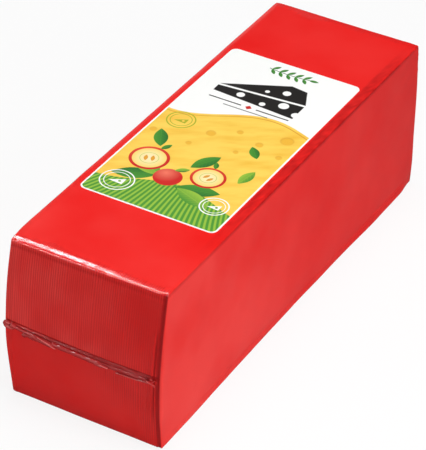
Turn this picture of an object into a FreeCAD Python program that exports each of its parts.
"""Loaf of semi-hard cheese, shrink-wrapped in red film, as a parametric FreeCAD document in millimetres.

Frame: +Z up, +Y along the loaf from its near end to its far end, +X to the right.  The origin is under
the middle of the loaf, on the plane that it rests on.

Pieces: the loaf in its tight film, the folded heat seal that closes the film across each end, and the
paper label stuck on top.
"""
import FreeCAD, Part
import os
import re

import Sketcher

# Name, value in millimetres, and what the size is.  Each one can be changed by itself.
DIMENSIONS = [
    ("ridge_to_ridge", 318.3, "length between the ridges that the seals draw across the two ends"),
    ("block_width", 100.0, "width of the top face and of the bottom face"),
    ("block_height", 104.5, "height of the loaf"),
    ("side_bow", 1.0, "how far the middle of a side stands out past its top and bottom edges"),
    ("ridge_height", 49.0, "height of the two ridges"),
    ("near_bulge", 6.5, "how far the near ridge stands out past the near edge of the top"),
    ("far_bulge", 3.4, "how far the far ridge stands out past the far edge of the top"),
    ("near_foot_tuck", 6.5, "how far the near bottom edge lies inside the near ridge"),
    ("far_foot_reach", 1.0, "how far the far bottom edge stands out past the far ridge"),
    ("near_swell", 1.1, "how far the near end swells past flat above and below its ridge"),
    ("far_swell", 0.5, "how far the far end swells past flat above and below its ridge"),
    ("upright_round", 3.0, "radius of the four upright corners"),
    ("top_round", 2.2, "radius round the top face"),
    ("foot_round", 2.8, "radius round the bottom face"),
    ("label_width", 88.7, "label, across the loaf"),
    ("label_length", 181.0, "label, along the loaf"),
    ("label_thick", 0.2, "thickness of the label"),
    ("label_corner", 4.2, "radius of the label's corners"),
    ("label_left", 1.5, "how far the label's middle lies left of the loaf's"),
    ("label_near", 0.1, "how far the label's middle lies nearer than the loaf's"),
    ("seal_tall", 5.4, "height of the flattened seal"),
    ("seal_proud", 1.5, "how far the flattened seal stands out from the ridge"),
    ("seal_round", 0.7, "radius along the outer edges of the flattened seal"),
    ("seal_root", 2.5, "how deep the seal starts behind the ridge, before the loaf is cut away"),
    ("knot_wide", 6.4, "gathered knot at each end of a seal, along the seal"),
    ("knot_lip", 1.5, "how far a knot stands above and below the flattened seal"),
    ("knot_proud", 2.2, "how far a knot stands out from the ridge"),
    ("knot_swell", 0.9, "how far each side of a knot bows out"),
    ("knot_round", 1.1, "radius round the outer edges of a knot"),
    ("near_left_clear", 0.3, "from the left end of the near seal to where the upright corner starts"),
    ("near_right_clear", 0.7, "from the right end of the near seal to where the upright corner starts"),
    ("far_clear", 2.0, "from each end of the far seal to where the upright corner starts"),
]
NAMES = [name for name, _, _ in DIMENSIONS]

SAME_PLACE = 0.01  # two coordinates nearer than this are the same
SAME_WAY = 1e-6  # two unit directions nearer than this are the same

doc = FreeCAD.newDocument("wrapped_cheese_loaf")
sheet = doc.addObject("Spreadsheet::Sheet", "Sizes")


def fill_sheet():
    """Write each size beside its name, and make the name its cell's alias."""
    for row, (name, value, note) in enumerate(DIMENSIONS, start=1):
        sheet.set(f"A{row}", name)
        sheet.set(f"B{row}", str(value))
        sheet.setAlias(f"B{row}", name)
        sheet.set(f"C{row}", note)
    doc.recompute()


def linked(expression):
    """The expression with each size's name pointed at the sheet."""
    return re.sub(r"[a-z_]+", lambda word: f"Sizes.{word[0]}" if word[0] in NAMES else word[0], expression)


def measured(expression):
    """The present value of an expression, in millimetres."""
    return float(sheet.evalExpression(linked(expression)))


def bind(item, path, expression):
    """Tie a property or a constraint of an item to the sheet."""
    item.setExpression(path, linked(expression))


def body_sketch(body, name, role, offset="0"):
    """New sketch on one of the body's own origin planes, moved along the plane's normal by an expression."""
    sketch = body.newObject("Sketcher::SketchObject", name)
    plane = next(item for item in body.Origin.OriginFeatures if item.Role == role)
    sketch.AttachmentSupport = [(plane, "")]
    sketch.MapMode = "FlatFace"
    bind(sketch, "AttachmentOffset.Base.z", offset)
    return sketch


def constrain(sketch, expression, *terms):
    """Add a dimension to the sketch and tie its value to the sheet."""
    index = sketch.addConstraint(Sketcher.Constraint(*terms, measured(expression)))
    bind(sketch, f"Constraints[{index}]", expression)


def hold_point(sketch, edge, end, across, up):
    """Fix an edge's end by its distances from the sketch's origin; a leading minus is to the left or down."""
    for kind, place in (("DistanceX", across), ("DistanceY", up)):
        if place == "0":
            axis = -2 if kind == "DistanceX" else -1
            sketch.addConstraint(Sketcher.Constraint("PointOnObject", edge, end, axis))
        elif place.startswith("-"):
            constrain(sketch, place[1:], kind, edge, end, -1, 1)
        else:
            constrain(sketch, place, kind, -1, 1, edge, end)


def closed_outline(sketch, corners, swells=None):
    """Draw a closed outline through corners given as pairs of expressions, counter-clockwise.

    swells maps the number of an edge to how far that edge bows outwards; the other edges are straight.
    """
    swells = swells or {}
    points = [FreeCAD.Vector(measured(across), measured(up), 0) for across, up in corners]
    first = sketch.GeometryCount
    count = len(corners)
    for number, start in enumerate(points):
        finish = points[(number + 1) % count]
        if number in swells:
            chord = finish - start
            outward = FreeCAD.Vector(chord.y, -chord.x, 0).normalize()
            crown = (start + finish) * 0.5 + outward * measured(swells[number])
            sketch.addGeometry(Part.Arc(start, crown, finish))
        else:
            sketch.addGeometry(Part.LineSegment(start, finish))
    for number in range(count):
        following = first + (number + 1) % count
        sketch.addConstraint(Sketcher.Constraint("Coincident", first + number, 2, following, 1))
    for number, (across, up) in enumerate(corners):
        hold_point(sketch, first + number, 1, across, up)
    for number, swell in swells.items():
        run, rise = (
            f"(({corners[number][side]}) - ({corners[(number + 1) % count][side]}))" for side in (0, 1)
        )
        radius = f"({run} ^ 2 + {rise} ^ 2) / (8 * ({swell})) + ({swell}) / 2"
        constrain(sketch, radius, "Radius", first + number)
    doc.recompute()


def fillet(body, name, radius, wanted):
    """Round those edges of the body that the test picks, by a radius from the sheet."""
    base = body.Tip
    edges = [f"Edge{number}" for number, edge in enumerate(base.Shape.Edges, start=1) if wanted(edge)]
    if not edges:
        raise RuntimeError(f"{name}: no edge to round")
    rounding = body.newObject("PartDesign::Fillet", name)
    rounding.Base = (base, edges)
    bind(rounding, "Radius", radius)
    doc.recompute()


def near(value, expression):
    """True where a coordinate is at the place that an expression gives."""
    return abs(value - measured(expression)) < SAME_PLACE


def along(edge, axis):
    """True where an edge is straight and parallel to X, Y or Z (0, 1 or 2)."""
    direction = edge.tangentAt(edge.FirstParameter)
    return isinstance(edge.Curve, Part.Line) and abs(abs(direction[axis]) - 1) < SAME_WAY


def make_loaf():
    """Loaf in film: end profile drawn from the side, bowed sides, and rounded edges."""
    body = doc.addObject("PartDesign::Body", "wrapped_block")
    body.Label = "wrapped_block"

    profile = body_sketch(body, "SideProfile", "YZ_Plane")
    closed_outline(
        profile,
        [
            ("-(ridge_to_ridge / 2 - near_foot_tuck)", "0"),
            ("ridge_to_ridge / 2 + far_foot_reach", "0"),
            ("ridge_to_ridge / 2", "ridge_height"),
            ("ridge_to_ridge / 2 - far_bulge", "block_height"),
            ("-(ridge_to_ridge / 2 - near_bulge)", "block_height"),
            ("-(ridge_to_ridge / 2)", "ridge_height"),
        ],
        swells={1: "far_swell", 2: "far_swell", 4: "near_swell", 5: "near_swell"},
    )
    blank = body.newObject("PartDesign::Pad", "LoafBlank")
    blank.Profile = profile
    blank.SideType = "Symmetric"
    bind(blank, "Length", "block_width + 4 * side_bow")
    doc.recompute()

    # The blank is wider than the loaf: the ring between these two outlines is cut off its sides.
    section = body_sketch(body, "CrossSection", "XZ_Plane")
    closed_outline(
        section,
        [
            ("-(block_width / 2)", "0"),
            ("block_width / 2", "0"),
            ("block_width / 2", "block_height"),
            ("-(block_width / 2)", "block_height"),
        ],
        swells={1: "side_bow", 3: "side_bow"},
    )
    closed_outline(
        section,
        [
            ("-block_width", "-block_height"),
            ("block_width", "-block_height"),
            ("block_width", "2 * block_height"),
            ("-block_width", "2 * block_height"),
        ],
    )
    before = body.Shape.Volume
    sides = body.newObject("PartDesign::Pocket", "BowedSides")
    sides.Profile = section
    sides.SideType = "Symmetric"
    bind(sides, "Length", "2 * ridge_to_ridge")
    doc.recompute()
    if body.Shape.Volume >= before:
        raise RuntimeError("the sides weren't trimmed")

    fillet(
        body, "UprightRounding", "upright_round",
        lambda edge: edge.BoundBox.ZLength > SAME_PLACE,
    )
    fillet(
        body, "TopRounding", "top_round",
        lambda edge: near(edge.BoundBox.ZMin, "block_height"),
    )
    fillet(
        body, "FootRounding", "foot_round",
        lambda edge: near(edge.BoundBox.ZMax, "0"),
    )
    return body


def make_label():
    """Thin label with rounded corners, flat on the loaf's top."""
    body = doc.addObject("PartDesign::Body", "top_label")
    body.Label = "top_label"
    sketch = body_sketch(body, "LabelOutline", "XY_Plane", "block_height")
    left = "-(label_width / 2 + label_left)"
    right = "label_width / 2 - label_left"
    nearest = "-(label_length / 2 + label_near)"
    farthest = "label_length / 2 - label_near"
    closed_outline(sketch, [(left, nearest), (right, nearest), (right, farthest), (left, farthest)])
    pad = body.newObject("PartDesign::Pad", "LabelPad")
    pad.Profile = sketch
    bind(pad, "Length", "label_thick")
    doc.recompute()
    fillet(body, "LabelCorners", "label_corner", lambda edge: along(edge, 2))
    return body


def pad_from_ridge(body, name, corners, swells, proud, rounding):
    """Pad an outline from behind the near ridge to a height above it, and round its outer edges."""
    sketch = body_sketch(body, f"{name}_outline", "XZ_Plane", "ridge_to_ridge / 2 - seal_root")
    closed_outline(sketch, corners, swells)
    pad = body.newObject("PartDesign::Pad", name)
    pad.Profile = sketch
    bind(pad, "Length", f"seal_root + {proud}")
    doc.recompute()
    outer = f"-(ridge_to_ridge / 2 + {proud})"
    fillet(
        body, f"{name}_rounding", rounding,
        lambda edge: near(edge.BoundBox.YMin, outer) and near(edge.BoundBox.YMax, outer),
    )


def make_seal(name, loaf, left_end, right_end, turn):
    """Flattened heat seal across an end of the loaf, with a gathered knot at each end of it.

    It is drawn on the near end and turned about Z.  The loaf is cut away behind it, so that it lies on
    the film.
    """
    blank = doc.addObject("PartDesign::Body", f"{name}_blank")
    left = f"-({left_end} - knot_wide / 2)"
    right = f"{right_end} - knot_wide / 2"
    low = "ridge_height - seal_tall / 2"
    high = "ridge_height + seal_tall / 2"
    strip = [(left, low), (right, low), (right, high), (left, high)]
    pad_from_ridge(blank, f"{name}_strip", strip, {}, "seal_proud", "seal_round")
    low = "ridge_height - (seal_tall / 2 + knot_lip - knot_swell)"
    high = "ridge_height + (seal_tall / 2 + knot_lip - knot_swell)"
    for side, outside, inside in (
        ("left", f"-({left_end} - knot_swell)", f"-({left_end} - knot_wide + knot_swell)"),
        ("right", f"{right_end} - knot_swell", f"{right_end} - knot_wide + knot_swell"),
    ):
        west, east = (outside, inside) if side == "left" else (inside, outside)
        knot = [(west, low), (east, low), (east, high), (west, high)]
        every_edge = dict.fromkeys(range(len(knot)), "knot_swell")
        pad_from_ridge(blank, f"{name}_{side}_knot", knot, every_edge, "knot_proud", "knot_round")
    blank.Placement = FreeCAD.Placement(FreeCAD.Vector(), FreeCAD.Rotation(FreeCAD.Vector(0, 0, 1), turn))
    seal = doc.addObject("Part::Cut", name)
    seal.Label = name
    seal.Base = blank
    seal.Tool = loaf
    doc.recompute()
    return seal


def check(pieces):
    """Stop where anything in the document failed, or where a piece isn't one sound solid."""
    for item in doc.Objects:
        if {"Invalid", "Error"} & set(item.State):
            raise RuntimeError(f"{item.Name}: {item.State}")
    for piece in pieces:
        if piece.Shape.isNull() or not piece.Shape.isValid() or len(piece.Shape.Solids) != 1:
            raise RuntimeError(f"{piece.Label}: not one valid solid")


def write(pieces):
    """Write each piece to parts/LABEL.step and print its size."""
    os.makedirs("parts", exist_ok=True)
    for piece in pieces:
        piece.Shape.exportStep(f"parts/{piece.Label}.step")
        box = piece.Shape.optimalBoundingBox()
        print(
            f"{piece.Label}: x {box.XMin:.2f} to {box.XMax:.2f}, y {box.YMin:.2f} to {box.YMax:.2f}, "
            f"z {box.ZMin:.2f} to {box.ZMax:.2f}, {piece.Shape.Volume / 1000:.2f} ml"
        )


fill_sheet()
loaf = make_loaf()
label = make_label()
flat_end = "block_width / 2 + side_bow - upright_round"
near_seal = make_seal(
    "near_end_seal", loaf, f"({flat_end} - near_left_clear)", f"{flat_end} - near_right_clear", turn=0
)
far_seal = make_seal("far_end_seal", loaf, f"({flat_end} - far_clear)", f"{flat_end} - far_clear", turn=180)
pieces = [loaf, label, near_seal, far_seal]
check(pieces)
write(pieces)
